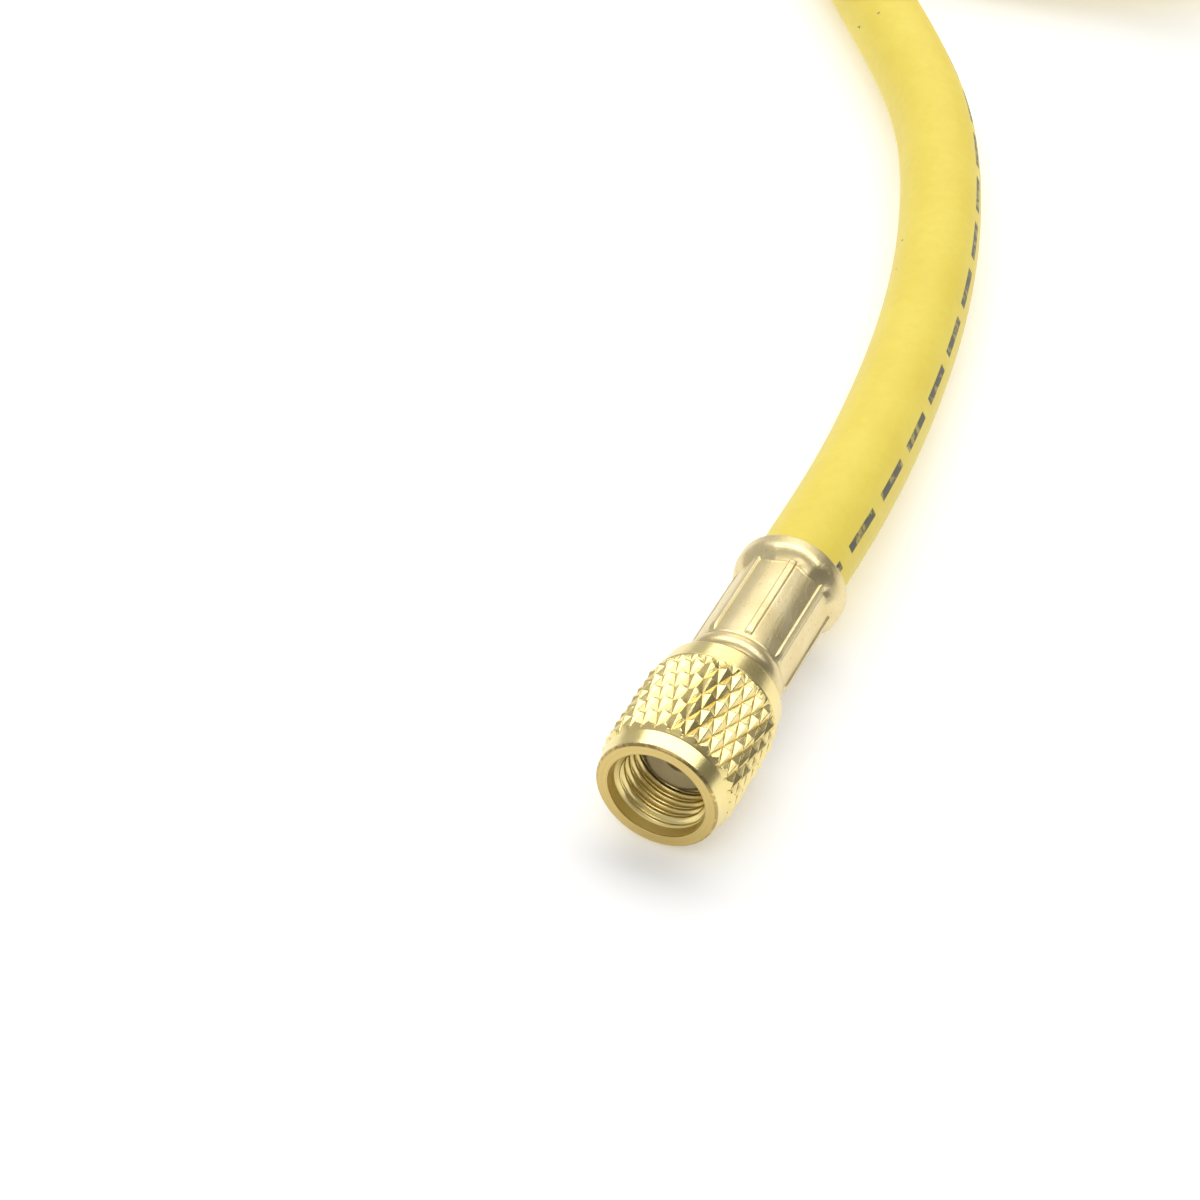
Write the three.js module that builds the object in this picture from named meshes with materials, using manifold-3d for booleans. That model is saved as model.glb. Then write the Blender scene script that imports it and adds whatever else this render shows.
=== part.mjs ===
// A refrigerant charging hose with a knurled swivel nut on each end, in millimetres, +Z up
import * as THREE from 'three';
import Module from 'manifold-3d';
import { mergeVertices } from 'three/addons/utils/BufferGeometryUtils.js';

const wasm = await Module();
wasm.setup();

// Clearance between pieces that touch or seat on each other
const seatGap = 0.3;

// Hose, with a fitting on each end, as sold: 36 inches overall
const overallLength = 914.4;
const hoseRadius = 5.6;

// Swivel nut, measured along its axis from its front face
const nutLength = 18.3;
const nutCrestRadius = 8.1;
const nutFaceRadius = 7.24;
const nutFaceEdge = 0.25;
const frontCollarRadius = 7.57;
const frontCollarLength = 2.3;
const rearCollarLength = 2.75;
const rearCollarRadius = 7.75;
const nutRearRadius = 7.3;
const knurlBevel = 0.35;
const mouthRadius = 5.8;
const mouthDepth = 1.3;
const threadRootRadius = 5.56;
const threadCrestRadius = 4.95;
const threadEnd = 8.6;
const cavityRadius = 5.3;
const rearRecessRadius = 6.3;
const rearRecessDepth = 2.1;
const recessFloorRadius = 4.4;

// Sealing washer, deep in the nut's thread
const sealDepth = 6.0;
const sealThickness = 2.2;
const sealClearance = 0.35;
const sealRadius = threadCrestRadius - sealClearance;
const sealBevel = 0.6;

// Insert stem that the nut turns on
const boreRadius = 1.6;
const flangeThickness = 2.0;
const flangeRadius = 4.4;
const shankRadius = 3.4;
const shankEndGap = 3.5;

// Crimped ferrule
const nutFloat = 1.4;
const ferruleLength = 19.8;
const ferruleFrontRadius = 5.2;
const beadRadius = 6.1;
const beadLength = 2.8;
const crimpFlats = 8;
const crimpRidgeRadius = 6.05;
const crimpFlatRadius = 5.75;
const crimpLength = 13.6;
const lipShoulderRadius = 6.6;
const lipShoulderRise = 1.2;
const lipRadius = 6.85;
const lipRise = 2.3;

// Coil of the length that is put away, and the strap that ties it
const coilX = -34.19;
const coilY = 238.47;
const coilRadius = 59;
const coilJoinAngle = 222;
const climbStart = 280;
const climbEnd = 350;
const joinWedge = 2.6;
const lastBendRadius = 46;
const lastBendLength = 34.4;
const tieAngle = 42;
const tieThickness = 0.8;
const tieWidth = 12;

// Faceting
const ROUND = 32;
const HOSE_SIDES = 12;
const HOSE_STEP = 9;
const COIL_STEPS = 64;
const CUTTER_SIDES = 24;

// Finishes
const brass = { color: 0xc9ad5f, roughness: 0.28, metalness: 1.0 };
const brushedBrass = { color: 0xd2bd7c, roughness: 0.36, metalness: 1.0 };
const nylon = { color: 0xc9c3ae, roughness: 0.5, metalness: 0.0 };
const yellowRubber = { color: 0xf2dc52, roughness: 0.6, metalness: 0.0 };
const blackStrap = { color: 0x1c1c1e, roughness: 0.9, metalness: 0.0 };

// Sizes that follow from the ones above
const ferruleFront = nutLength + nutFloat;
const fittingLength = ferruleFront + ferruleLength;
const hoseLength = overallLength - 2 * fittingLength;
const flangeFront = sealDepth + sealThickness + seatGap;
const flangeRear = flangeFront + flangeThickness;
const shankBore = shankRadius + seatGap;
const lift = tieThickness + seatGap;
const coilZ = lift + hoseRadius;
const upperZ = coilZ + 2 * hoseRadius + seatGap;
const farFittingZ = coilZ + hoseRadius + seatGap + nutCrestRadius;

// The hose's route on the floor from the near ferrule to where it joins the coil
const runPoints = [
  [0, fittingLength / 2, nutCrestRadius],
  [0, 24, 8.05],
  [-0.05, 29, 7.9],
  [-0.2, 35, 7.6],
  [-0.6, 42, 7.1],
  [-1.95, 56, 6.15],
  [-4.15, 72, hoseRadius],
  [-7.35, 88, hoseRadius],
  [-12.0, 104, hoseRadius],
  [-21.8, 127, hoseRadius],
  [-36.0, 148, hoseRadius],
  [-56.45, 173.96, hoseRadius + 0.5 * lift],
  [-78.03, 198.99, coilZ],
];

const metal = (finish) => new THREE.MeshStandardMaterial(finish);

function named(name, geometry, finish) {
  const mesh = new THREE.Mesh(geometry, metal(finish));
  mesh.name = name;
  return mesh;
}

// A solid of revolution about +Y from [radius, distance] corners that close on themselves
function turned(corners) {
  const outline = [...corners, corners[0]].map(([r, y]) => new THREE.Vector2(r, y));
  return new THREE.LatheGeometry(outline, ROUND);
}

function nutGeometry() {
  const knurlEnd = nutLength - rearCollarLength;
  return turned([
    [mouthRadius, 0],
    [nutFaceRadius - nutFaceEdge, 0],
    [nutFaceRadius, nutFaceEdge],
    [frontCollarRadius, frontCollarLength],
    [nutCrestRadius, frontCollarLength + knurlBevel],
    [nutCrestRadius, knurlEnd - knurlBevel],
    [rearCollarRadius, knurlEnd],
    [nutRearRadius, nutLength],
    [rearRecessRadius, nutLength],
    [recessFloorRadius, nutLength - rearRecessDepth],
    [shankBore, nutLength - rearRecessDepth],
    [shankBore, flangeRear + seatGap],
    [cavityRadius, flangeRear + seatGap],
    [cavityRadius, threadEnd],
    [threadCrestRadius, threadEnd],
    [threadCrestRadius, mouthDepth + threadRootRadius - threadCrestRadius],
    [threadRootRadius, mouthDepth],
  ]);
}

function sealGeometry() {
  return turned([
    [boreRadius, sealDepth],
    [sealRadius - sealBevel, sealDepth],
    [sealRadius, sealDepth + sealBevel],
    [sealRadius, sealDepth + sealThickness],
    [boreRadius, sealDepth + sealThickness],
  ]);
}

function stemGeometry() {
  const end = fittingLength - shankEndGap;
  return turned([
    [boreRadius, flangeFront],
    [flangeRadius, flangeFront],
    [flangeRadius, flangeRear],
    [shankRadius, flangeRear],
    [shankRadius, end],
    [boreRadius, end],
  ]);
}

// The sleeve, with its crimped stretch pressed into flats between low ridges
function ferruleGeometry() {
  const crimpStart = ferruleFront + beadLength;
  const crimpEnd = crimpStart + crimpLength;
  const bead = beadRadius - ferruleFrontRadius;
  const geometry = turned([
    [shankBore, ferruleFront],
    [ferruleFrontRadius, ferruleFront],
    [ferruleFrontRadius + bead * Math.SQRT1_2, ferruleFront + bead * (1 - Math.SQRT1_2)],
    [beadRadius, ferruleFront + bead],
    [beadRadius, crimpStart - seatGap],
    [crimpRidgeRadius, crimpStart],
    [crimpRidgeRadius, crimpEnd],
    [lipShoulderRadius, crimpEnd + lipShoulderRise],
    [lipRadius, crimpEnd + lipRise],
    [lipRadius, fittingLength],
    [shankBore, fittingLength],
  ]);
  const position = geometry.attributes.position;
  const flatTurn = (2 * Math.PI) / crimpFlats;
  const slack = 0.01;
  for (let i = 0; i < position.count; i++) {
    const y = position.getY(i);
    const r = Math.hypot(position.getX(i), position.getZ(i));
    if (y < crimpStart - slack || y > crimpEnd + slack || r < crimpRidgeRadius - slack) continue;
    const turn = Math.atan2(position.getX(i), position.getZ(i));
    const fromFlat = turn - flatTurn * Math.round(turn / flatTurn);
    const pressed = Math.min(crimpFlatRadius / Math.cos(fromFlat), crimpRidgeRadius);
    position.setX(i, (position.getX(i) * pressed) / r);
    position.setZ(i, (position.getZ(i) * pressed) / r);
  }
  return geometry;
}

// Nut, seal, stem and ferrule on +Y, the nut's front face at the group's origin
function fitting(end) {
  const group = new THREE.Group();
  group.add(named(`knurled_nut_${end}`, nutGeometry(), brass));
  group.add(named(`seal_${end}`, sealGeometry(), nylon));
  group.add(named(`stem_${end}`, stemGeometry(), brass));
  group.add(named(`ferrule_${end}`, ferruleGeometry(), brushedBrass));
  return group;
}

// The hose's section, a polygon inside its true circle
function hoseSection(radius, sides) {
  const corners = [];
  for (let i = 0; i < sides; i++) {
    const turn = (2 * Math.PI * (i + 0.5)) / sides;
    corners.push(new THREE.Vector2(radius * Math.cos(turn), radius * Math.sin(turn)));
  }
  return corners;
}

function hoseAlong(points) {
  const path = new THREE.CatmullRomCurve3(points);
  const steps = Math.max(2, Math.round(path.getLength() / HOSE_STEP));
  const options = { steps, bevelEnabled: false, extrudePath: path };
  return new THREE.ExtrudeGeometry(new THREE.Shape(hoseSection(hoseRadius, HOSE_SIDES)), options);
}

// A round ring of hose section about +Y, through the coil's radius
function ringGeometry(radius, sides) {
  const section = hoseSection(radius, sides).map((p) => new THREE.Vector2(coilRadius + p.x, p.y));
  return new THREE.LatheGeometry([...section, section[0]], COIL_STEPS);
}

// Turns a ring about +Y to lie level at the coil's place
const coilPlace = new THREE.Matrix4()
  .makeRotationX(Math.PI / 2)
  .setPosition(coilX, coilY, coilZ);

function solidOf(geometry) {
  const bare = geometry.clone();
  bare.deleteAttribute('normal');
  bare.deleteAttribute('uv');
  const merged = mergeVertices(bare);
  const vertProperties = merged.attributes.position.array;
  const triVerts = new Uint32Array(merged.index.array);
  return new wasm.Manifold(new wasm.Mesh({ numProp: 3, vertProperties, triVerts }));
}

function geometryOf(solid) {
  const { vertProperties, triVerts } = solid.getMesh();
  const geometry = new THREE.BufferGeometry();
  geometry.setAttribute('position', new THREE.BufferAttribute(vertProperties, 3));
  geometry.setIndex(new THREE.BufferAttribute(triVerts, 1));
  geometry.computeVertexNormals();
  return geometry;
}

// A stretch of hose, cut to lie against the coil's ring
function fittedToCoil(geometry) {
  const clear = (hoseRadius + seatGap) / Math.cos(Math.PI / CUTTER_SIDES);
  const cutter = ringGeometry(clear, CUTTER_SIDES).applyMatrix4(coilPlace);
  return geometryOf(solidOf(geometry).subtract(solidOf(cutter)));
}

// The stretch from the near ferrule to where the hose joins the coil from outside
const route = new THREE.CatmullRomCurve3(runPoints.map((p) => new THREE.Vector3(...p)));
const runLength = route.getLength();

function runGeometry() {
  const samples = 48;
  const points = [];
  for (let i = 0; i <= samples; i++) {
    const u = seatGap / runLength + i / samples;
    if (u > 1) break;
    const point = route.getPointAt(u);
    if (Math.hypot(point.x - coilX, point.y - coilY) < coilRadius + joinWedge) break;
    points.push(point);
  }
  return fittedToCoil(hoseAlong(points));
}

// The coil's full turn lies low, and the last part turn climbs on to it
const coilTravel = (hoseLength - runLength - lastBendLength) / coilRadius;

function coilHeight(travel) {
  const from = THREE.MathUtils.degToRad(climbStart);
  const to = THREE.MathUtils.degToRad(climbEnd);
  return coilZ + (upperZ - coilZ) * THREE.MathUtils.smoothstep(travel, from, to);
}

function coilPoint(travel) {
  const turn = THREE.MathUtils.degToRad(coilJoinAngle) - travel;
  const x = coilX + coilRadius * Math.cos(turn);
  const y = coilY + coilRadius * Math.sin(turn);
  return new THREE.Vector3(x, y, coilHeight(travel));
}

// The last bend, from the coil's circle in over the ring, and the heading that it ends on
function lastBend() {
  const start = coilPoint(coilTravel);
  const heading = THREE.MathUtils.degToRad(coilJoinAngle - 90) - coilTravel;
  const points = [];
  const steps = 8;
  for (let i = 0; i <= steps; i++) {
    const bend = (lastBendLength * i) / steps / lastBendRadius;
    const ahead = lastBendRadius * Math.sin(bend);
    const inward = lastBendRadius * (1 - Math.cos(bend));
    const x = start.x + ahead * Math.cos(heading) + inward * Math.sin(heading);
    const y = start.y + ahead * Math.sin(heading) - inward * Math.cos(heading);
    const rise = THREE.MathUtils.smoothstep(i / steps, 0, 1) * (farFittingZ - upperZ);
    points.push(new THREE.Vector3(x, y, upperZ + rise));
  }
  return { points, heading: heading - lastBendLength / lastBendRadius };
}

function tailGeometry(bend) {
  let start = THREE.MathUtils.degToRad(climbStart);
  const step = THREE.MathUtils.degToRad(1);
  while (coilHeight(start) < coilZ + joinWedge) start += step;
  const points = [];
  const steps = 36;
  for (let i = 0; i < steps; i++) {
    points.push(coilPoint(start + ((coilTravel - start) * i) / steps));
  }
  const last = bend.points.length - 1;
  const end = bend.points[last].clone();
  end.x -= seatGap * Math.cos(bend.heading);
  end.y -= seatGap * Math.sin(bend.heading);
  points.push(...bend.points.slice(0, last), end);
  return fittedToCoil(hoseAlong(points));
}

// A strap round both layers of hose, bent along the coil's circle
function tieGeometry() {
  const inner = hoseRadius + seatGap;
  const outer = inner + tieThickness;
  const shape = new THREE.Shape();
  shape.absarc(0, coilZ, outer, Math.PI, 2 * Math.PI, false);
  shape.absarc(0, upperZ, outer, 0, Math.PI, false);
  const hole = new THREE.Path();
  hole.absarc(0, coilZ, inner, Math.PI, 2 * Math.PI, false);
  hole.absarc(0, upperZ, inner, 0, Math.PI, false);
  shape.holes.push(hole);
  const options = { depth: tieWidth, steps: 4, bevelEnabled: false, curveSegments: 10 };
  const geometry = new THREE.ExtrudeGeometry(shape, options);
  const position = geometry.attributes.position;
  for (let i = 0; i < position.count; i++) {
    const turn = THREE.MathUtils.degToRad(tieAngle) - (position.getZ(i) - tieWidth / 2) / coilRadius;
    const radius = coilRadius + position.getX(i);
    const x = coilX + radius * Math.cos(turn);
    const y = coilY + radius * Math.sin(turn);
    position.setXYZ(i, x, y, position.getY(i));
  }
  return geometry;
}

const hose = new THREE.Group();

const nearEnd = fitting('near');
nearEnd.position.set(0, -fittingLength / 2, nutCrestRadius);
hose.add(nearEnd);

hose.add(named('hose_run', runGeometry(), yellowRubber));

const ring = ringGeometry(hoseRadius, HOSE_SIDES).applyMatrix4(coilPlace);
hose.add(named('hose_coil', ring, yellowRubber));

const bend = lastBend();
hose.add(named('hose_tail', tailGeometry(bend), yellowRubber));

hose.add(named('coil_tie', tieGeometry(), blackStrap));

const farEnd = fitting('far');
const hoseEnd = bend.points[bend.points.length - 1];
farEnd.rotation.z = bend.heading + Math.PI / 2;
farEnd.position.set(
  hoseEnd.x + fittingLength * Math.cos(bend.heading),
  hoseEnd.y + fittingLength * Math.sin(bend.heading),
  farFittingZ,
);
hose.add(farEnd);

export default hose;
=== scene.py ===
import math

import bpy
import numpy as np
from mathutils import Matrix, Vector


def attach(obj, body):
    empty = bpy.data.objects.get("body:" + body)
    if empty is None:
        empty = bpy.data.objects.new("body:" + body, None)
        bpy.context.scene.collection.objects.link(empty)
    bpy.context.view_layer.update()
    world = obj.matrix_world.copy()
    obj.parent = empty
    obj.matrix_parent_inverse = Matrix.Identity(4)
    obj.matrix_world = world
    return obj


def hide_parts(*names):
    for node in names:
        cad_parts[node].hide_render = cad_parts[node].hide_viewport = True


# A refrigerant charging hose: knurled swivel nuts, crimped ferrules, and its spare length in a coil
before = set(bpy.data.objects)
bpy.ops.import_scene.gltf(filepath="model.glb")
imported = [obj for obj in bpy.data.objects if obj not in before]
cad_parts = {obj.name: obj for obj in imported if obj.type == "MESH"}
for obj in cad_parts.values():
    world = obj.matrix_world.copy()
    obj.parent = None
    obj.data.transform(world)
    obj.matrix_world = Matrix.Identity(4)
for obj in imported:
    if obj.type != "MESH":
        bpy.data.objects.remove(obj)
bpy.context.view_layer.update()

# Lengths below are in millimetres, and become metres as a mesh is made
MM = 0.001

# Hose and its route, as in the part's source
HOSE_RADIUS = 5.6
INSIDE_FERRULE = 4.0
NUT_AXIS_HEIGHT = 8.1
RUN_POINTS = [
    (0, 19.75, 8.1),
    (0, 24, 8.05),
    (-0.05, 29, 7.9),
    (-0.2, 35, 7.6),
    (-0.6, 42, 7.1),
    (-1.95, 56, 6.15),
    (-4.15, 72, HOSE_RADIUS),
    (-7.35, 88, HOSE_RADIUS),
    (-12.0, 104, HOSE_RADIUS),
    (-21.8, 127, HOSE_RADIUS),
    (-36.0, 148, HOSE_RADIUS),
    (-56.45, 173.96, HOSE_RADIUS),
]
COIL_X = -34.19
COIL_Y = 238.47
COIL_RADIUS = 59.0
LAST_BEND_RADIUS = 46.0
LAST_BEND_LENGTH = 34.4
TIE_LIFT = 1.1
LAYER_GAP = 0.05
LAYER_STEP = 2 * HOSE_RADIUS + LAYER_GAP

# Angles on the coil, in degrees: where the hose joins it, how far it goes round, where it climbs
# on to its lower turn, and where the strap is
COIL_JOIN = 222.0
COIL_TRAVEL = 581.648
CLIMB_START = 280.0
CLIMB_END = 350.0
TIE_ANGLE = 42.0

# Degrees between the coil's points, and millimetres between the rings of the finished hose
COIL_POINT_STEP = 6.0
RING_STEP = 1.2

# Each fitting's own frame: the nut's face centre, and the way from mouth to hose
NEAR = {"name": "near", "face": (0, -19.75, 8.1), "axis": (0, 1, 0)}
FAR = {"name": "far", "face": (-13.9567, 178.3507, 20.7), "axis": (0.675534, 0.737329, 0)}
FAR_AXIS_HEIGHT = 20.7


# Camera, fitted to the edges of the nuts and of the hose in the photograph
def make_camera():
    right = Vector((0.90857724, 0.41769513, -0.00426269))
    down = Vector((0.2691608, -0.59322575, -0.75870658))
    ahead = Vector((-0.31943678, 0.68819618, -0.65141857))
    data = bpy.data.cameras.new("camera")
    data.sensor_width = 36.0
    data.lens = 92.657
    data.clip_start = 0.01
    camera = bpy.data.objects.new("camera", data)
    turn = Matrix((right, -down, -ahead)).transposed().to_4x4()
    place = Matrix.Translation(Vector((95.680, -239.917, 242.265)) * MM)
    camera.matrix_world = place @ turn
    bpy.context.scene.collection.objects.link(camera)
    bpy.context.scene.camera = camera


make_camera()


# Meshes from grids of points
def smoothstep(x, low, high):
    """0 below low, 1 above high, and 3t^2 - 2t^3 between, t being the share of the way."""
    t = np.clip((x - low) / (high - low), 0, 1)
    return t * t * (3 - 2 * t)


def surface(name, points, closed_rows=False, falling=None, flat=None, uv=None, extra=None):
    """A mesh from a grid of points (row, column, xyz) whose columns go all the way round. Each
    cell is two triangles, cut along its falling diagonal where `falling` says so. Rows join up
    too where closed_rows is true, or else each end is closed by a fan to its middle. The
    triangles are turned round if the volume that they enclose comes out negative."""
    points = np.asarray(points, float)
    rows, columns = points.shape[:2]
    index = np.arange(rows * columns).reshape(rows, columns)
    last = rows if closed_rows else rows - 1
    low = np.arange(last)[:, None]
    left = np.arange(columns)[None, :]
    a = index[low, left]
    b = index[low, (left + 1) % columns]
    c = index[(low + 1) % rows, (left + 1) % columns]
    d = index[(low + 1) % rows, left]
    falling = np.zeros(a.shape, bool) if falling is None else falling[:last]
    first = np.where(falling[..., None], np.stack([a, b, d], -1), np.stack([a, b, c], -1))
    second = np.where(falling[..., None], np.stack([b, c, d], -1), np.stack([a, c, d], -1))
    faces = np.stack([first, second], 2).reshape(-1, 3)
    vertices = points.reshape(-1, 3)
    flat_faces = np.zeros(len(faces), bool) if flat is None else np.repeat(flat[:last].ravel(), 2)
    if not closed_rows:
        start, end = len(vertices), len(vertices) + 1
        vertices = np.concatenate([vertices, points[:1].mean(1), points[-1:].mean(1)])
        around = np.arange(columns)
        beyond = (around + 1) % columns
        near_fan = np.stack([np.full(columns, start), index[0, beyond], index[0, around]], -1)
        far_fan = np.stack([np.full(columns, end), index[-1, around], index[-1, beyond]], -1)
        faces = np.concatenate([faces, near_fan, far_fan])
        flat_faces = np.concatenate([flat_faces, np.ones(2 * columns, bool)])
    p, q, r = (vertices[faces[:, k]] for k in range(3))
    inside_out = np.einsum("ij,ij->i", p, np.cross(q, r)).sum() < 0
    if inside_out:
        faces = faces[:, ::-1]
    mesh = bpy.data.meshes.new(name)
    mesh.vertices.add(len(vertices))
    mesh.vertices.foreach_set("co", (vertices * MM).astype(np.float32).ravel())
    mesh.loops.add(faces.size)
    mesh.loops.foreach_set("vertex_index", faces.astype(np.int32).ravel())
    mesh.polygons.add(len(faces))
    mesh.polygons.foreach_set("loop_start", np.arange(0, faces.size, 3, dtype=np.int32))
    mesh.polygons.foreach_set("use_smooth", ~flat_faces)
    if uv is not None:
        add_uv(mesh, uv, faces, rows, columns)
    for key, values in (extra or {}).items():
        kind, field = ("FLOAT_VECTOR", "vector") if values.ndim == 3 else ("FLOAT", "value")
        width = values.shape[2] if values.ndim == 3 else 1
        spread = values.reshape(rows * columns, width)
        if not closed_rows:
            spread = np.concatenate([spread, spread[:1], spread[-1:]])
        attribute = mesh.attributes.new(key, kind, "POINT")
        attribute.data.foreach_set(field, spread.astype(np.float32).ravel())
    mesh.update()
    mesh.validate()
    piece = bpy.data.objects.new(name, mesh)
    bpy.context.scene.collection.objects.link(piece)
    return piece


def add_uv(mesh, uv, faces, rows, columns):
    """UV from the grid: uv is (along for each row, round for each column). The last cell of a
    round takes one whole step past its last column, so that the map doesn't run back."""
    along, around = (np.asarray(v, float) for v in uv)
    step_round = around[1] - around[0]
    row = np.minimum(faces // columns, rows - 1)
    column = np.where(faces >= rows * columns, 0, faces % columns)
    u = along[row]
    v = around[column]
    wraps = (column.max(1) == columns - 1) & (column.min(1) == 0)
    v = np.where(wraps[:, None] & (column == 0), around[-1] + step_round, v)
    layer = mesh.uv_layers.new(name="lay")
    layer.data.foreach_set("uv", np.stack([u, v], -1).astype(np.float32).ravel())


def fitting_points(radius, along, turn, end):
    """Points round a fitting's axis, at `radius` from it, `along` it from the nut's face, and
    turned by `turn` from straight up towards the right. Returns them in the whole part's frame,
    and in the fitting's own frame for its materials."""
    radius, along, turn = np.broadcast_arrays(radius, along, turn)
    axis = np.array(end["axis"], float)
    up = np.array((0.0, 0.0, 1.0))
    side = np.cross(axis, up)
    own = np.stack([radius * np.sin(turn), along, radius * np.cos(turn)], -1)
    placed = np.array(end["face"], float) + own @ np.stack([side, axis, up])
    return placed, own


# Distance from a corner to the points that hold the flats beside it flat, in roundings
HOLD_AWAY = 1.6


def rounded(corners):
    """A closed section through corners (radius, along, rounding), as points. A corner with a
    rounding is a quadratic curve that starts and ends that far from it, with one point more on
    each side to hold the flats flat."""
    count = len(corners)
    places = np.array([c[:2] for c in corners], float)
    out = []
    for k, (*_, rounding) in enumerate(corners):
        here = places[k]
        before = places[k - 1] - here
        after = places[(k + 1) % count] - here
        if rounding == 0:
            out.append(here[None])
            continue
        before /= np.linalg.norm(before)
        after /= np.linalg.norm(after)
        start = here + before * rounding
        finish = here + after * rounding
        t = np.linspace(0, 1, 5)[:, None]
        curve = (1 - t) ** 2 * start + 2 * t * (1 - t) * here + t**2 * finish
        hold_in = here + before * rounding * HOLD_AWAY
        hold_out = here + after * rounding * HOLD_AWAY
        out.append(np.concatenate([hold_in[None], curve, hold_out[None]]))
    return np.concatenate(out)


def turned(name, corners, end, columns=96):
    """A body of revolution: a rounded closed section carried round the fitting's axis."""
    section = rounded(corners)
    turn = np.linspace(0, 2 * np.pi, columns, endpoint=False)[None, :]
    points, own = fitting_points(section[:, :1], section[:, 1:], turn, end)
    return surface(name, points, closed_rows=True, extra={"own": own})


# The hose's route and body
def low_height(angle):
    """Height of the coil's lower turn's axis: on the floor, and lifted by the strap under it.
    The lift is whole on a level stretch that holds the strap, and falls off in a half cosine
    on both sides of it. All angles are in degrees."""
    level_middle = 2.0
    level_half = 64.0
    fall = 80.0
    away = np.abs((angle - level_middle + 180) % 360 - 180)
    t = np.clip((away - level_half) / fall, 0, 1)
    return HOSE_RADIUS + TIE_LIFT * 0.5 * (1 + np.cos(np.pi * t))


def coil_points(travel):
    """Points of the coil, which goes round clockwise: a circle, with a smooth climb on to the
    turn below it."""
    angle = COIL_JOIN - travel
    climb = smoothstep(travel, CLIMB_START, CLIMB_END)
    x = COIL_X + COIL_RADIUS * np.cos(np.radians(angle))
    y = COIL_Y + COIL_RADIUS * np.sin(np.radians(angle))
    return np.stack([x, y, low_height(angle) + LAYER_STEP * climb], -1)


def last_bend():
    """The last stretch: an arc that leaves the coil inwards and climbs to the far ferrule."""
    start = coil_points(np.array([COIL_TRAVEL]))[0]
    heading = math.radians(COIL_JOIN - 90 - COIL_TRAVEL)
    share = np.linspace(0, 1, 9)
    bend = share * LAST_BEND_LENGTH / LAST_BEND_RADIUS
    ahead = LAST_BEND_RADIUS * np.sin(bend)
    inward = LAST_BEND_RADIUS * (1 - np.cos(bend))
    x = start[0] + ahead * math.cos(heading) + inward * math.sin(heading)
    y = start[1] + ahead * math.sin(heading) - inward * math.cos(heading)
    z = start[2] + (FAR_AXIS_HEIGHT - start[2]) * smoothstep(share, 0, 1)
    return np.stack([x, y, z], -1)


def smooth_line(points, first_way, last_way, step):
    """A cubic spline through the points, with continuous curvature and the given ways at its
    ends, sampled at equal steps of length."""
    knots = np.concatenate([[0], np.cumsum(np.linalg.norm(np.diff(points, axis=0), axis=1))])
    gaps = np.diff(knots)[:, None]
    slopes = np.diff(points, axis=0) / gaps
    count = len(points)
    matrix = np.eye(count)
    right = np.zeros((count, 3))
    inner = np.arange(1, count - 1)
    matrix[inner, inner - 1] = gaps[1:, 0]
    matrix[inner, inner] = 2 * (gaps[1:, 0] + gaps[:-1, 0])
    matrix[inner, inner + 1] = gaps[:-1, 0]
    right[1:-1] = 3 * (gaps[1:] * slopes[:-1] + gaps[:-1] * slopes[1:])
    right[0], right[-1] = first_way, last_way
    ways = np.linalg.solve(matrix, right)
    fine = np.linspace(0, knots[-1], 40 * count)
    cell = np.clip(np.searchsorted(knots, fine, side="right") - 1, 0, count - 2)
    h = gaps[cell]
    t = ((fine - knots[cell]) / gaps[cell, 0])[:, None]
    line = (
        (1 + 2 * t) * (1 - t) ** 2 * points[cell]
        + t * (1 - t) ** 2 * h * ways[cell]
        + t**2 * (3 - 2 * t) * points[cell + 1]
        + t**2 * (t - 1) * h * ways[cell + 1]
    )
    run = np.concatenate([[0], np.cumsum(np.linalg.norm(np.diff(line, axis=0), axis=1))])
    even = np.linspace(0, run[-1], int(round(run[-1] / step)) + 1)
    return np.stack([np.interp(even, run, line[:, k]) for k in range(3)], -1), even


def hose_line():
    """The whole centreline, from inside the near ferrule to inside the far one."""
    inside_near = (0, RUN_POINTS[0][1] - INSIDE_FERRULE, NUT_AXIS_HEIGHT)
    coil = coil_points(np.arange(0, COIL_TRAVEL - COIL_POINT_STEP / 2, COIL_POINT_STEP))
    bend = last_bend()
    far_way = -np.array(FAR["axis"])
    inside_far = bend[-1] + INSIDE_FERRULE * far_way
    points = np.concatenate([[inside_near], RUN_POINTS, coil, bend, [inside_far]])
    return smooth_line(points, np.array(NEAR["axis"], float), far_way, RING_STEP)


def tube(name, line, even, radius, columns=48):
    """A tube: circles square to the line, whose own up stays as near the vertical as it can."""
    way = np.gradient(line, axis=0)
    way /= np.linalg.norm(way, axis=1)[:, None]
    side = np.cross(way, (0, 0, 1.0))
    side /= np.linalg.norm(side, axis=1)[:, None]
    up = np.cross(side, way)
    turn = np.linspace(-np.pi, np.pi, columns, endpoint=False)
    ring = np.cos(turn)[None, :, None] * up[:, None] + np.sin(turn)[None, :, None] * side[:, None]
    points = line[:, None] + radius * ring
    return surface(name, points, uv=(even * MM, turn / (2 * np.pi)))


line, line_even = hose_line()
hose = tube("hose", line, line_even, HOSE_RADIUS)
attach(hose, "hose")
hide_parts("hose_run", "hose_coil", "hose_tail")

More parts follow.
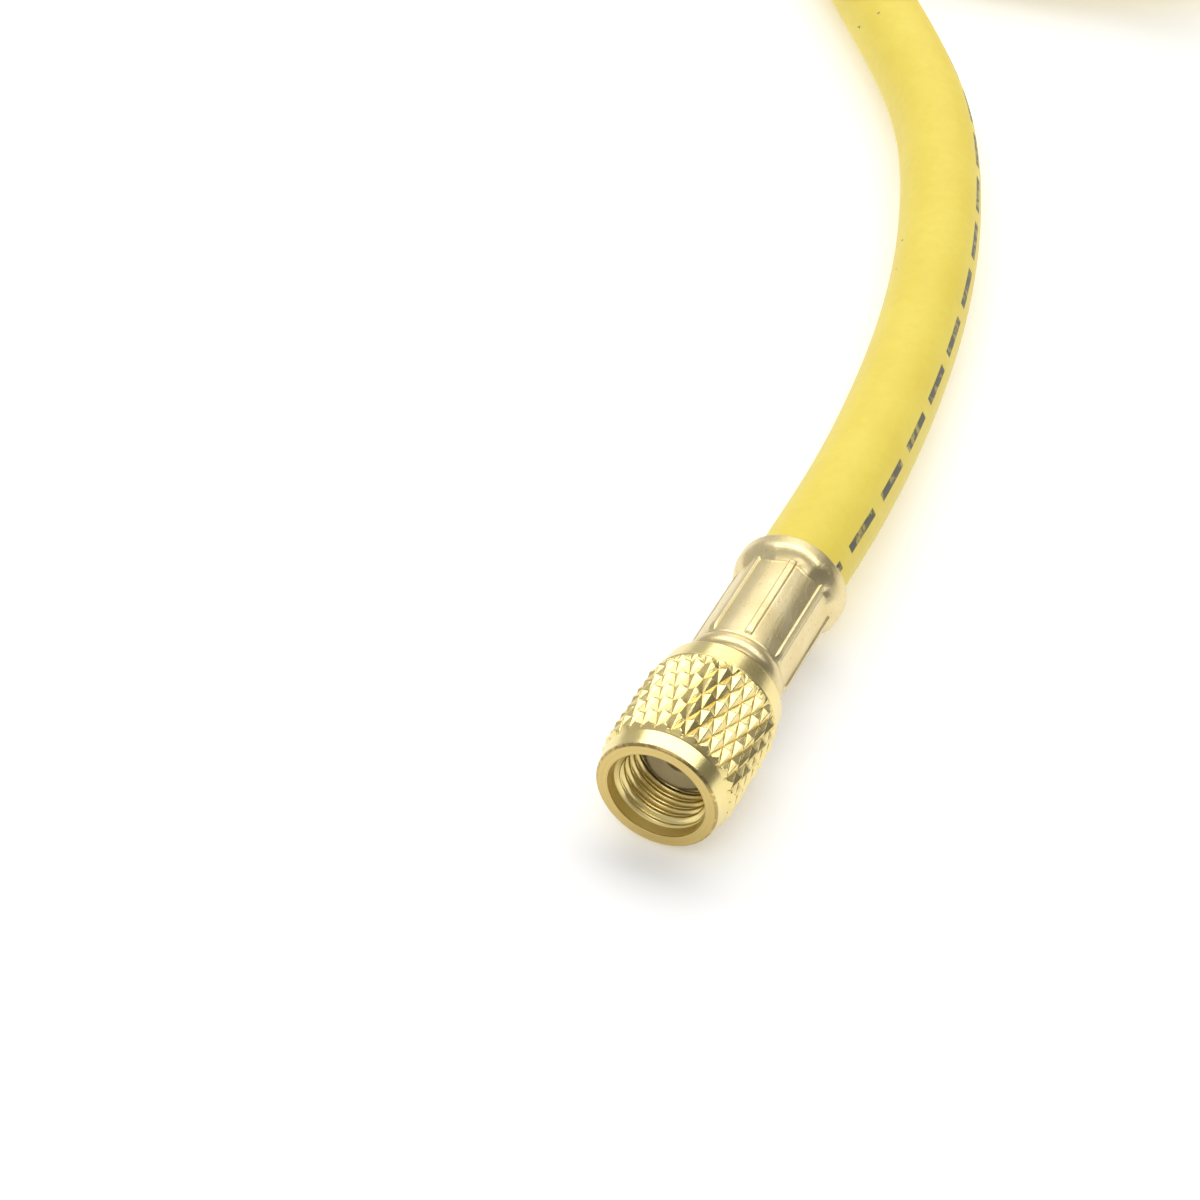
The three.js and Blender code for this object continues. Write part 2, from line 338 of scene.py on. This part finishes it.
# Swivel nut, measured along its axis from its face
NUT_LENGTH = 18.3
MOUTH_RADIUS = 5.8
MOUTH_DEPTH = 1.3
THREAD_ROOT = 5.56
THREAD_CREST = 4.95
THREAD_PITCH = 1.27
THREAD_END = 8.6
THREAD_FLANK = math.radians(30)
THREAD_ENTRY_SLOPE = 1.2
THREAD_ROWS_PER_PITCH = 14
THREAD_ROWS_FROM = THREAD_END - 0.08
THREAD_ROWS_TO = MOUTH_DEPTH - 0.02
KNURL_START = 2.42
KNURL_END = 15.5
KNURL_CREST = 8.1
KNURL_DEPTH = 0.56
CROSS_GROOVE_RISE = 0.08
TEETH = 28
TOOTH_ROW = 2.25
TOOTH_TURN = 28.4
TOOTH_ALONG = 14.25
CELL_SHARES = np.array([0, 0.05, 0.16, 0.5, 0.84, 0.95])

# Bevels that close the knurl: the front one from its start, the rear one back from its end
FRONT_BEVEL_START = KNURL_START + 0.08
FRONT_BEVEL_RADIUS = 7.2
FRONT_BEVEL_SLOPE = 1.15
REAR_BEVEL_RADIUS = 7.5
REAR_BEVEL_SLOPE = 1.4

# A hair past each row and column, so that rounding errors don't decide which way a groove runs
HAIR = 1e-6

# The painted shade of the knurl's grooves goes by a value that is 0 in a groove, where it is darkest,
# 1 at a tooth's point, and this much on the nut's plain faces
PLAIN_SHADE_VALUE = 0.7


def knurl(turn, along):
    """Height of the knurl, from 0 in a groove to 1 at a tooth's point, and which way each groove
    runs. Two families of grooves cross the band. With x and y triangle waves of the turn and of
    the distance along, whose tips are rounded off, the height is |1 - (x + y)|: points stand
    where both are 0 or both are 1, and grooves run where they add up to 1."""
    tip = 0.992
    p = (turn - math.radians(TOOTH_TURN)) * TEETH / np.pi
    q = (along - TOOTH_ALONG) / TOOTH_ROW
    x = np.arccos(tip * np.cos(np.pi * p)) / np.pi
    y = np.arccos(tip * np.cos(np.pi * q)) / np.pi
    height = np.abs(1 - (x + y))
    crossing = (np.floor(p) + np.floor(q)) % 2 == 0
    return height, crossing


def nut(end):
    """A knurled nut: a closed section carried round its axis, whose knurl and thread rows take
    their radius from the turn as well. The thread is a right-handed helix: its radius follows
    the distance along less one pitch for each turn."""
    front = rounded([
        (THREAD_ROOT, MOUTH_DEPTH, 0.1),
        (MOUTH_RADIUS, 0, 0.1),
        (6.99, 0, 0.08),
        (7.24, 0.25, 0.08),
        (7.57, 2.22, 0.05),
        (7.2, 2.3, 0),
        (7.0, 6.0, 0),
    ])[3:-1]
    rear = rounded([
        (7.35, 15.2, 0),
        (7.72, 15.56, 0.06),
        (7.3, NUT_LENGTH, 0.12),
        (6.8, NUT_LENGTH, 0.1),
        (4.6, 16.2, 0.1),
        (3.7, 16.2, 0.1),
        (3.7, 10.8, 0.1),
        (5.3, 10.8, 0.1),
        (5.3, THREAD_END, 0.1),
        (4.9, THREAD_END, 0),
    ])[1:-1]
    cells = np.arange(-6, 2)[:, None] + CELL_SHARES[None, :]
    knurl_rows = TOOTH_ALONG + TOOTH_ROW * cells.ravel()
    knurl_rows = knurl_rows[(knurl_rows > KNURL_START) & (knurl_rows < KNURL_END)]
    thread_rows = np.arange(THREAD_ROWS_FROM, THREAD_ROWS_TO, -THREAD_PITCH / THREAD_ROWS_PER_PITCH)
    along = np.concatenate([front[:, 1], knurl_rows, rear[:, 1], thread_rows])
    radius = np.concatenate([front[:, 0], 0 * knurl_rows, rear[:, 0], 0 * thread_rows])
    half_teeth = np.arange(2 * TEETH)[:, None] + CELL_SHARES[None, :]
    turn = math.radians(TOOTH_TURN) + half_teeth.ravel() * np.pi / TEETH
    along, turn = along[:, None], turn[None, :]
    radius = np.repeat(radius[:, None], turn.shape[1], axis=1)
    first, last = len(front), len(front) + len(knurl_rows)
    band = slice(first, last)
    height, crossing = knurl(turn + HAIR, along[band] + HAIR)
    groove = KNURL_CREST - KNURL_DEPTH + np.where(crossing, CROSS_GROOVE_RISE, 0)
    teeth = groove + (KNURL_CREST - groove) * height
    front_bevel = FRONT_BEVEL_RADIUS + FRONT_BEVEL_SLOPE * (along[band] - FRONT_BEVEL_START)
    rear_bevel = REAR_BEVEL_RADIUS + REAR_BEVEL_SLOPE * (KNURL_END - along[band])
    radius[band] = np.minimum(teeth, np.minimum(front_bevel, rear_bevel))
    thread = slice(last + len(rear), None)
    phase = along[thread] / THREAD_PITCH - turn / (2 * np.pi)
    from_crest = np.abs(phase % 1 - 0.5) * THREAD_PITCH
    crest_half = THREAD_PITCH / 8
    cut = (from_crest - crest_half) / math.tan(THREAD_FLANK)
    cut = np.clip(cut, 0, THREAD_ROOT - THREAD_CREST)
    entry = THREAD_ROOT - THREAD_ENTRY_SLOPE * (along[thread] - MOUTH_DEPTH)
    radius[thread] = np.maximum(THREAD_CREST + cut, np.minimum(entry, THREAD_ROOT))
    points, own = fitting_points(radius, along, turn, end)
    falling = np.zeros(radius.shape, bool)
    falling[band] = crossing
    flat = np.zeros(radius.shape, bool)
    flat[first - 1:last] = True
    # Painted shade for the colour: the knurl's height, so that its grooves come out darker, and a set
    # value on the plain faces
    shade_and_wear = np.full(radius.shape, PLAIN_SHADE_VALUE)
    shade_and_wear[band] = height
    name = "swivel_nut_" + end["name"]
    extra = {"own": own, "shade_and_wear": shade_and_wear}
    return surface(name, points, closed_rows=True, falling=falling, flat=flat, extra=extra)


# Crimped ferrule, measured along the fitting's axis from the nut's face
CRIMP_START = 22.5
CRIMP_END = 36.1
CRIMP_FADE = 0.9
NECK_RADIUS = 5.76
PANELS = 8
PANEL_TURN = 2 * np.pi / PANELS
PANEL_RADIUS = 5.74
PANEL_CROWN = 0.16
PANEL_END_ARCH = 0.35
RIDGE_RADIUS = 6.06
RIDGE_HALF_WIDTH = 0.36
RIDGE_FLANK = 0.14
RIDGE_TURN = 11.0
CREASE_DEPTH = 0.07
CREASE_HALF_WIDTH = 0.07
CREASE_FROM_RIDGE = 0.16
LIP_FOOT_RADIUS = 5.77
LIP_RADIUS = 6.85
LIP_RUN = 2.3
LIP_ROUNDNESS = 0.9

# Dent where each panel meets the lip: its place across in shares of a panel, the rest in lengths
DENT_ACROSS = 0.13
DENT_BEYOND_CRIMP = 0.25
DENT_DEPTH = 0.16
DENT_HALF_WIDTH = 0.45
DENT_HALF_LENGTH = 0.35


def ferrule(end):
    """A sleeve: a rolled bead, then panels pressed in between narrow ridges, then a lip that
    flares out. On the panels the radius is PANEL_RADIUS plus a shallow crown towards each
    ridge, and a ridge is a flat-topped step between two creases. The outside is whichever is
    greater of the panels and the lip's rising quarter sine, less a dent where they meet."""
    bead = np.array([
        (5.05, 19.7), (5.25, 19.72), (5.55, 19.82), (5.82, 20.05), (6.0, 20.4), (6.09, 20.8),
        (6.1, 21.2), (6.05, 21.6), (5.94, 21.95), (5.8, 22.2), (5.7, 22.36),
    ])
    body_along = np.concatenate([
        [22.45, 22.55, 22.7, 22.9], np.linspace(23.3, 35.4, 14),
        np.linspace(35.6, 37.4, 19), np.linspace(37.6, 39.3, 10),
    ])
    inside = np.array([
        (6.84, 39.38), (6.8, 39.45), (6.73, 39.49), (6.52, 39.5), (6.44, 39.46), (6.39, 39.36),
        (6.34, 38.6), (6.1, 37.7), (5.8, 37.0), (5.68, 36.6), (5.68, 34.0), (5.68, 28.0), (5.68, 22.0),
        (5.4, 21.0), (4.9, 20.5), (3.8, 20.4), (3.72, 20.3), (3.7, 20.05), (3.72, 19.8),
        (3.85, 19.71), (4.4, 19.7),
    ])
    share = np.concatenate([
        [-0.5, -0.42, -0.32, -0.22], np.linspace(-0.16, -0.105, 4), np.linspace(-0.095, 0.095, 14),
        np.linspace(0.105, 0.16, 4), [0.22, 0.32, 0.42],
    ])
    panel_places = (np.arange(PANELS)[:, None] + share[None, :]).ravel()
    turn = math.radians(RIDGE_TURN) + panel_places[None, :] * PANEL_TURN
    spread = np.tile(share, PANELS)[None, :]
    from_ridge = np.abs(spread) * PANEL_TURN * RIDGE_RADIUS
    s = body_along[:, None]
    panel = PANEL_RADIUS + PANEL_CROWN * (1 - 2 * np.abs(spread)) ** 2
    ridge = smoothstep(from_ridge, RIDGE_HALF_WIDTH + RIDGE_FLANK, RIDGE_HALF_WIDTH)
    from_crease = from_ridge - RIDGE_HALF_WIDTH - CREASE_FROM_RIDGE
    crease = -CREASE_DEPTH * np.exp(-((from_crease / CREASE_HALF_WIDTH) ** 2))
    fade = smoothstep(s, CRIMP_START, CRIMP_START + CRIMP_FADE)
    body = panel + (RIDGE_RADIUS - panel) * ridge + crease * fade
    body = NECK_RADIUS + (body - NECK_RADIUS) * fade
    panel_end = CRIMP_END - PANEL_END_ARCH * (2 * np.abs(spread)) ** 2
    rise = np.clip((s - panel_end) / LIP_RUN, 0, 1)
    flare = np.sin(np.pi / 2 * rise) ** LIP_ROUNDNESS
    lip = LIP_FOOT_RADIUS + (LIP_RADIUS - LIP_FOOT_RADIUS) * flare
    dent_across = (spread - DENT_ACROSS) * PANEL_TURN * RIDGE_RADIUS / DENT_HALF_WIDTH
    dent_along = (s - CRIMP_END - DENT_BEYOND_CRIMP) / DENT_HALF_LENGTH
    dent = -DENT_DEPTH * np.exp(-(dent_across**2) - dent_along**2)
    outer = np.maximum(body, lip) + dent
    columns = turn.shape[1]
    radius = np.concatenate([
        np.repeat(bead[:, :1], columns, 1), outer, np.repeat(inside[:, :1], columns, 1),
    ])
    along = np.concatenate([bead[:, 1], body_along, inside[:, 1]])[:, None]
    points, own = fitting_points(radius, along, turn, end)
    return surface("crimped_ferrule_" + end["name"], points, closed_rows=True, extra={"own": own})


def seal(end):
    """The sealing washer: a thick ring, whose front dips a little towards its bore and is
    bevelled at its edge."""
    return turned("washer_" + end["name"], [
        (1.6, 6.12, 0.15), (3.6, 6.0, 0.3), (4.05, 6.05, 0.15), (4.6, 6.6, 0.15),
        (4.6, 8.2, 0.1), (1.6, 8.2, 0.1),
    ], end)


def stem(end):
    """The insert stem: a flange behind the washer, and a plain shank that goes on through the
    ferrule to the hose."""
    return turned("insert_stem_" + end["name"], [
        (1.6, 8.5, 0.1), (4.4, 8.5, 0.1), (4.4, 10.5, 0.15), (3.4, 10.5, 0.1),
        (3.4, 36.0, 0.1), (1.6, 36.0, 0.1),
    ], end)


fittings = {}
for end in (NEAR, FAR):
    made = {"nut": nut(end), "seal": seal(end), "stem": stem(end), "ferrule": ferrule(end)}
    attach(made["nut"], end["name"] + "_nut")
    for part in ("seal", "stem", "ferrule"):
        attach(made[part], "hose")
    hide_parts("knurled_nut_" + end["name"])
    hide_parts("seal_" + end["name"])
    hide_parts("stem_" + end["name"])
    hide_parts("ferrule_" + end["name"])
    fittings[end["name"]] = made


# The strap round both layers of the coil
STRAP_WIDTH = 12.0
STRAP_THICKNESS = 0.75
STRAP_CLEARANCE = 0.25
STRAP_OVERLAP = 15.0

# How far up the coil's outer side the strap starts, as a share of the way between the two axes
STRAP_START = 0.35

# The overlapping end climbs on to the strap's start over this length, to this many thicknesses
OVERLAP_CLIMB = 6
OVERLAP_LIFT = 1.12

# Powers of the strap's section, a superellipse: the closer to 0, the squarer
SECTION_POWER_ACROSS = 0.35
SECTION_POWER_THICK = 0.6


def strap():
    """A band with an overlapping end: a rounded thin section carried once round the outline of
    the two hoses, a stadium, and on over its own start, one thickness further out."""
    lower = float(low_height(TIE_ANGLE))
    tall = LAYER_STEP
    inner = HOSE_RADIUS + STRAP_CLEARANCE
    middle = inner + STRAP_THICKNESS / 2
    once = 2 * np.pi * middle + 2 * tall
    run = np.linspace(0, once + STRAP_OVERLAP, 170)
    out = STRAP_THICKNESS * OVERLAP_LIFT * smoothstep(run, once - OVERLAP_CLIMB, once)
    at = (run + tall * STRAP_START) % once
    half = np.pi * middle
    over = np.clip((at - tall) / half, 0, 1) * np.pi
    under = np.clip((at - 2 * tall - half) / half, 0, 1) * np.pi
    turn = over + under
    height = lower + np.clip(at, 0, tall) - np.clip(at - tall - half, 0, tall)
    section_turn = np.linspace(0, 2 * np.pi, 20, endpoint=False)
    cosine = np.cos(section_turn)
    sine = np.sin(section_turn)
    across = np.sign(cosine) * np.abs(cosine) ** SECTION_POWER_ACROSS
    thick = np.sign(sine) * np.abs(sine) ** SECTION_POWER_THICK
    reach = (middle + out)[:, None] + thick[None, :] * STRAP_THICKNESS / 2
    radial = COIL_RADIUS + reach * np.cos(turn)[:, None]
    z = height[:, None] + reach * np.sin(turn)[:, None]
    angle = math.radians(TIE_ANGLE) - across[None, :] * STRAP_WIDTH / 2 / COIL_RADIUS
    points = np.stack([COIL_X + radial * np.cos(angle), COIL_Y + radial * np.sin(angle), z], -1)
    own = np.stack(np.broadcast_arrays(run[:, None], across[None, :] * STRAP_WIDTH / 2, 0.0), -1)
    return surface("coil_strap", points, extra={"own": own})


tie = strap()
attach(tie, "hose")
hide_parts("coil_tie")


# Materials
class Link:
    """One value, colour or vector in a material. Arithmetic on values adds Math nodes."""

    def __init__(self, tree, socket=None):
        self.tree = tree
        self.socket = socket

    def node(self, kind, inputs, settings=None, output=0):
        """Adds a node: its settings first, then the values or links of its sockets."""
        made = self.tree.nodes.new(kind)
        for key, value in (settings or {}).items():
            setattr(made, key, value)
        for key, value in inputs.items():
            if isinstance(value, Link):
                self.tree.links.new(value.socket, made.inputs[key])
            else:
                made.inputs[key].default_value = value
        return Link(self.tree, made.outputs[output] if len(made.outputs) else None)

    def math(self, operation, *values):
        return self.node("ShaderNodeMath", dict(enumerate(values)), {"operation": operation})

    def __add__(self, other):
        return self.math("ADD", self, other)

    def __radd__(self, other):
        return self.math("ADD", other, self)

    def __sub__(self, other):
        return self.math("SUBTRACT", self, other)

    def __rsub__(self, other):
        return self.math("SUBTRACT", other, self)

    def __mul__(self, other):
        return self.math("MULTIPLY", self, other)

    def __rmul__(self, other):
        return self.math("MULTIPLY", other, self)

    def step(self, low, high):
        """0 at low and below, 1 at high and above, smooth between. low may be the greater."""
        inputs = {"Value": self, "From Min": low, "From Max": high}
        return self.node("ShaderNodeMapRange", inputs, {"interpolation_type": "SMOOTHSTEP"})

    def mix(self, first, second):
        """A colour from first, where this is 0, to second, where it is 1."""
        first = (*first, 1) if isinstance(first, tuple) else first
        second = (*second, 1) if isinstance(second, tuple) else second
        inputs = {0: self, 6: first, 7: second}
        return self.node("ShaderNodeMix", inputs, {"data_type": "RGBA"}, output=2)


def noise(vector, scale, detail=2.0, rough=0.5):
    inputs = {"Vector": vector, "Scale": scale, "Detail": detail, "Roughness": rough}
    return vector.node("ShaderNodeTexNoise", inputs)


def rings(distance, scale, detail=2.0):
    """Noise along one distance only: the rings that a turning tool leaves."""
    inputs = {"W": distance * scale, "Scale": 1.0, "Detail": detail}
    return distance.node("ShaderNodeTexNoise", inputs, {"noise_dimensions": "1D"})


def ribs(vector, direction, scale, distortion, detail):
    """Straight waves, one after another in a direction, X, Y or Z."""
    inputs = {"Vector": vector, "Scale": scale, "Distortion": distortion, "Detail": detail}
    settings = {"wave_type": "BANDS", "bands_direction": direction}
    return vector.node("ShaderNodeTexWave", inputs, settings, output="Fac")


def scaled(vector, by):
    return vector.node("ShaderNodeVectorMath", {0: vector, 1: by}, {"operation": "MULTIPLY"})


def attribute(start, name, output="Vector"):
    return start.node("ShaderNodeAttribute", {}, {"attribute_name": name}, output=output)


def bump(height, distance, strength):
    inputs = {"Height": height, "Distance": distance, "Strength": strength}
    return height.node("ShaderNodeBump", inputs)


def material(name, build, constants):
    """A material on one Principled shader: `constants` are the sockets that are the same all
    over, and build(start) returns the links of those that change."""
    made = bpy.data.materials.new(name)
    made.use_nodes = True
    tree = made.node_tree
    tree.nodes.clear()
    start = Link(tree)
    sockets = {**constants, **build(start)}
    shader = start.node("ShaderNodeBsdfPrincipled", sockets)
    start.node("ShaderNodeOutputMaterial", {"Surface": shader})
    return made


def radius_of(start, own):
    """Distance from the fitting's axis, in millimetres."""
    flat = scaled(own, (1, 0, 1))
    return start.node("ShaderNodeVectorMath", {0: flat}, {"operation": "LENGTH"}, output="Value")


def machined(start):
    """Turned brass: fine rings left by the tool, with painted shade, darker and warmer, in the knurl's
    grooves, on the front face and in the rear recess, and a thin dark line of painted shade on the
    front edge, and a duller band inside the mouth."""
    own = attribute(start, "own")
    shade_and_wear = attribute(start, "shade_and_wear", output="Fac")
    apart = own.node("ShaderNodeSeparateXYZ", {0: own}, output=1)
    reach = radius_of(start, own)
    rings_face = rings(reach, 9.0)
    rings_side = rings(apart, 8.0)
    cloud = noise(own, 0.35, 3.0)
    grain = noise(own, 9.0, 3.0)
    mouth_band = reach.step(5.86, 5.78) * apart.step(1.6, 1.3)
    # Painted shade: darker and warmer in the knurl's grooves, added to a random cloud of tone
    groove_shade_and_tone = shade_and_wear.step(-0.2, 0.3) * 0.6 + cloud * 0.7
    bright = groove_shade_and_tone.mix((0.78, 0.58, 0.18), (0.90, 0.75, 0.335))
    # Painted shade: the front face darker, varied by its real tool rings, and the rear recess darker
    face_shade = apart.step(0.3, 0.05) * (0.45 + rings_face * 0.5)
    recess = apart.step(18.0, 18.2) * reach.step(7.2, 7.0)
    face_and_recess_shaded = (face_shade + recess * 0.8).mix(bright, (0.56, 0.40, 0.125))
    # Painted shade: a broken dark line along the chamfer at the front face's outer edge
    edge_place = reach.step(6.90, 7.02) * apart.step(0.42, 0.2)
    edge_shade_line = edge_place * noise(own, 1.6, 3.0).step(0.34, 0.52)
    color = (edge_shade_line * 0.75).mix(face_and_recess_shaded, (0.36, 0.25, 0.10))
    roughness = 0.17 + cloud * 0.1 + grain * 0.05 + mouth_band * 0.22
    height = rings_face * 0.5 + rings_side * 0.5 + grain * 0.35
    return {"Base Color": color, "Roughness": roughness, "Normal": bump(height, 0.00002, 0.55)}


def pressed(start):
    """Pressed brass: satin, with a sandy grain, small dark pits and faint length-wise marks."""
    own = attribute(start, "own")
    cloud = noise(own, 0.3, 3.0)
    sand = noise(own, 6.0, 4.0, 0.65)
    drawn = noise(scaled(own, (3.5, 0.25, 3.5)), 1.0, 3.0)
    pits = noise(own, 2.6, 2.0).step(0.62, 0.72)
    satin = cloud.step(0.3, 0.75).mix((0.79, 0.645, 0.33), (0.85, 0.725, 0.42))
    color = (pits * 0.45).mix(satin, (0.50, 0.37, 0.17))
    roughness = 0.20 + cloud * 0.12 + sand * 0.1
    height = sand * 0.6 + drawn * 0.5 - pits * 0.5
    return {"Base Color": color, "Roughness": roughness, "Normal": bump(height, 0.00004, 0.8)}


def nylon(start):
    """Nylon washer: an even tan with a faint cloud and tool rings."""
    own = attribute(start, "own")
    cloud = noise(own, 0.5, 2.0)
    reach = radius_of(start, own)
    color = cloud.mix((0.53, 0.45, 0.25), (0.63, 0.54, 0.32))
    normal = bump(rings(reach, 6.0, detail=1.0), 0.00002, 0.5)
    return {"Base Color": color, "Roughness": 0.34 + cloud * 0.1, "Normal": normal}


# The line of dashes. Its place round the hose and half its width are shares of a turn, and the
# lengths along it are millimetres: from a dash's middle to a gap's, the whole line's shift, and
# half a gap. A pair says where a soft edge begins and ends
DASH_PLACE = 0.178
DASH_HALF_WIDTH = (0.0135, 0.0165)
DASH_HALF_PERIOD = 5.5
DASH_SHIFT = 3.0
DASH_HALF_GAP = (1.3, 1.6)


def jacket(start):
    """Yellow rubber: slight mottling, fine grain, a few dark specks, and a line of plain dashes
    along one side."""
    place = start.node("ShaderNodeTexCoord", {}, output="Object")
    lay = start.node("ShaderNodeUVMap", {}, {"uv_map": "lay"})
    along = lay.node("ShaderNodeSeparateXYZ", {0: lay}, output=0)
    around = lay.node("ShaderNodeSeparateXYZ", {0: lay}, output=1)
    cloud = noise(place, 90.0, 3.0)
    mottle = noise(place, 700.0, 3.0, 0.6)
    grain = noise(place, 3200.0, 2.0)
    specks = noise(place, 520.0, 1.0).step(0.80, 0.83)
    base = (cloud * 0.6 + mottle * 0.4).step(0.3, 0.7).mix((0.90, 0.70, 0.07), (0.95, 0.77, 0.10))
    speckled = specks.mix(base, (0.20, 0.15, 0.05))
    from_line = around.math("ABSOLUTE", around - DASH_PLACE)
    in_line = from_line.step(DASH_HALF_WIDTH[1], DASH_HALF_WIDTH[0])
    cycle = along.math("PINGPONG", along * (1 / MM) + DASH_SHIFT, DASH_HALF_PERIOD)
    dashes = cycle.step(*DASH_HALF_GAP)
    shade_and_wear = mottle.step(0.35, 0.5)
    print_mask = in_line * dashes * (0.55 + shade_and_wear * 0.4)
    color = print_mask.mix(speckled, (0.045, 0.045, 0.035))
    roughness = 0.46 + cloud * 0.1 + mottle * 0.06
    height = grain * 0.35 + mottle * 0.65
    return {"Base Color": color, "Roughness": roughness, "Normal": bump(height, 0.00005, 0.35)}


def hook_tape(start):
    """Woven tape: black, ribbed both ways, with lint-like fuzz."""
    own = attribute(start, "own")
    weft = ribs(own, "X", 1.6, 1.5, 2.0)
    warp = ribs(own, "Y", 1.3, 1.0, 1.0)
    fuzz = noise(own, 5.0, 4.0, 0.7)
    color = (fuzz * 0.7 + weft * 0.3).mix((0.008, 0.008, 0.009), (0.055, 0.055, 0.06))
    height = weft * 0.4 + warp * 0.3 + fuzz * 0.6
    return {"Base Color": color, "Roughness": 0.8 + fuzz * 0.15, "Normal": bump(height, 0.0003, 0.7)}


nut_brass = material("machined_brass", machined, {"Metallic": 1.0})
ferrule_brass = material("pressed_brass", pressed, {"Metallic": 1.0})
washer_nylon = material("milky_nylon", nylon, {})
hose_rubber = material("yellow_rubber", jacket, {"Sheen Weight": 0.15})
tape = material("hook_and_loop_tape", hook_tape, {"Sheen Weight": 0.3})
for made in fittings.values():
    made["nut"].data.materials.append(nut_brass)
    made["stem"].data.materials.append(nut_brass)
    made["ferrule"].data.materials.append(ferrule_brass)
    made["seal"].data.materials.append(washer_nylon)
hose.data.materials.append(hose_rubber)
tie.data.materials.append(tape)


# Studio: a pale floor, three soft lights above, behind and in front, and a grey room
def floor_paint(start):
    """Nearly white, with a faint cloud."""
    place = start.node("ShaderNodeTexCoord", {}, output="Object")
    cloud = noise(place, 6.0, 2.0)
    return {"Base Color": cloud.mix((0.86, 0.86, 0.86), (0.89, 0.89, 0.89))}


FLOOR_FINISH = {
    "Roughness": 0.8, "Specular IOR Level": 0.1,
    "Emission Color": (1, 1, 1, 1), "Emission Strength": 0.28,
}


def make_floor():
    """A flat square of floor. Its reach from the middle is in metres."""
    reach = 4.0
    mesh = bpy.data.meshes.new("floor")
    corners = [(-reach, -reach, 0), (reach, -reach, 0), (reach, reach, 0), (-reach, reach, 0)]
    mesh.from_pydata(corners, [], [(0, 1, 2, 3)])
    floor = bpy.data.objects.new("floor", mesh)
    bpy.context.scene.collection.objects.link(floor)
    floor.data.materials.append(material("pale_floor", floor_paint, FLOOR_FINISH))


# The lights look at a point this far above the floor's origin, in metres
LIT_HEIGHT = 0.01


def soft_light(name, azimuth, elevation, distance, width, height, power):
    """A white area light that looks at the near fitting from a bearing: azimuth from +Y towards
    +X, and elevation, in degrees. Distance, width and height are in metres, power in watts."""
    data = bpy.data.lights.new(name, "AREA")
    data.shape = "RECTANGLE"
    data.size = width
    data.size_y = height
    data.energy = power
    light = bpy.data.objects.new(name, data)
    a = math.radians(azimuth)
    e = math.radians(elevation)
    way = Vector((math.sin(a) * math.cos(e), math.cos(a) * math.cos(e), math.sin(e)))
    light.location = way * distance + Vector((0, 0, LIT_HEIGHT))
    light.rotation_mode = "QUATERNION"
    light.rotation_quaternion = way.to_track_quat("Z", "Y")
    bpy.context.scene.collection.objects.link(light)


def make_world():
    """A grey room, lighter to the left than to the right."""
    world = bpy.data.worlds.new("room")
    world.use_nodes = True
    tree = world.node_tree
    tree.nodes.clear()
    start = Link(tree)
    way = start.node("ShaderNodeTexCoord", {}, output="Generated")
    right = way.node("ShaderNodeSeparateXYZ", {0: way}, output=0)
    shade = right.step(-0.25, 0.7).mix((0.52, 0.52, 0.52), (0.18, 0.18, 0.18))
    backdrop = start.node("ShaderNodeBackground", {"Color": shade, "Strength": 1.0})
    start.node("ShaderNodeOutputWorld", {"Surface": backdrop})
    bpy.context.scene.world = world


make_floor()
make_world()
soft_light("softbox_overhead", 2, 62, distance=1.2, width=2.3, height=0.6, power=10.8)
soft_light("strip_behind", -8, 23, distance=1.3, width=0.8, height=0.34, power=1.5)
soft_light("fill_in_front", 168, 55, distance=1.2, width=0.9, height=0.5, power=2.2)
bpy.context.scene.view_settings.view_transform = "Standard"
bpy.context.scene.view_settings.look = "None"
